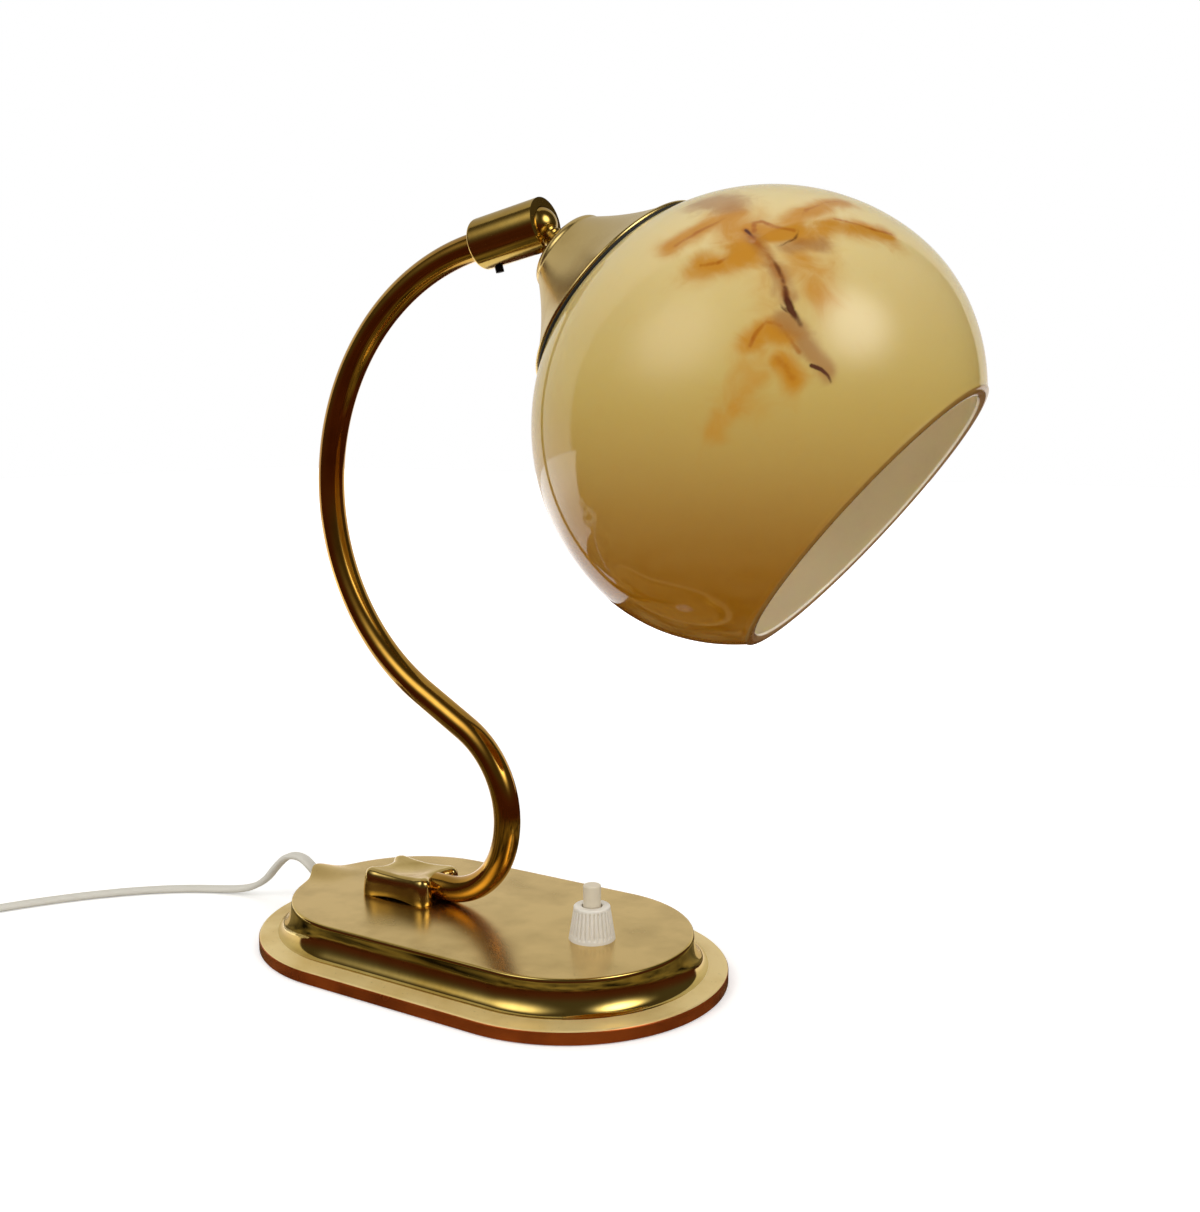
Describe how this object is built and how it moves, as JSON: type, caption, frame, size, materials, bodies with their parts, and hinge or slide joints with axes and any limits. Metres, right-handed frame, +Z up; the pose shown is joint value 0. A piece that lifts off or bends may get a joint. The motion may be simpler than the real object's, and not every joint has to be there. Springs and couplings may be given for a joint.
{
  "type": "table lamp",
  "caption": "Brass table lamp with a round-ended base, a swan-neck tube arm, a slotted ball joint, a bell holder and a marbled glass globe shade, with a push switch in the base and a mains cord",
  "frame": {"origin": "middle of the base, on the table", "axes": "+X from the cord end of the base to the switch end, where the shade looks; +Z up; the arm stands in the XZ plane"},
  "size_m": [0.5444, 0.2255, 0.2776],
  "materials": {
    "brass": "polished, slightly aged",
    "cast_iron": "raw casting",
    "steel": "zinc plated",
    "black_steel": "blackened",
    "felt": "felt",
    "cord_white": "satin",
    "marbled_glass": "opal, marbled, glossy",
    "opal_glass": "opal",
    "black_rubber": "matte",
    "black_plastic": "moulded",
    "porcelain": "glazed",
    "cream_plastic": "moulded, satin"
  },
  "bodies": {
    "base": {"base_shell": "brass", "base_weight": "cast_iron", "bottom_plate": "steel", "plate_screws": "steel", "felt_pad": "felt", "foot_block": "brass", "block_screws": "steel", "arm_tube": "brass", "arm_flex": "cord_white", "switch_body": "black_plastic", "switch_terminals": "brass", "switch_nut": "cream_plastic", "switch_spring": "steel", "supply_lead": "cord_white", "arm_lead": "cord_white", "cord_clamp": "black_plastic", "clamp_screws": "steel", "cord": "cord_white", "cord_coil": "cord_white", "cord_tie": "black_rubber", "plug_body": "cream_plastic", "plug_pins": "brass"},
    "head": {"joint_housing": "brass", "housing_bush": "brass", "set_screw": "black_steel", "spring_seat": "brass", "ball_spring": "steel"},
    "shade": {"ball_stem": "brass", "bell_holder": "brass", "stem_nut": "brass", "glass_shade": "marbled_glass", "gasket_ring": "black_rubber", "socket_shell": "black_plastic", "shade_ring": "black_plastic", "socket_insert": "porcelain", "screw_shell": "brass", "centre_contact": "brass", "bulb_cap": "steel", "bulb_glass": "opal_glass"},
    "plunger": {"switch_plunger": "cream_plastic"}
  },
  "joints": [
    {"name": "head_swivel", "type": "hinge", "parent": "base", "child": "head", "pos_m": [0.02637, 0, 0.26816], "axis": [0.9816, 0, 0.1908], "range_deg": [-52.5, 37.5]},
    {"name": "shade_tilt", "type": "hinge", "parent": "head", "child": "shade", "pos_m": [0.02637, 0, 0.26816], "axis": [0.0249, -0.9914, -0.1281], "range_deg": [-36, 69]},
    {"name": "button_press", "type": "slide", "parent": "base", "child": "plunger", "axis": [0, 0, -1], "range_m": [0, 0.0035], "stiffness_N_per_m": 300, "springref_m": -0.002, "deforming": ["switch_spring"]}
  ]
}
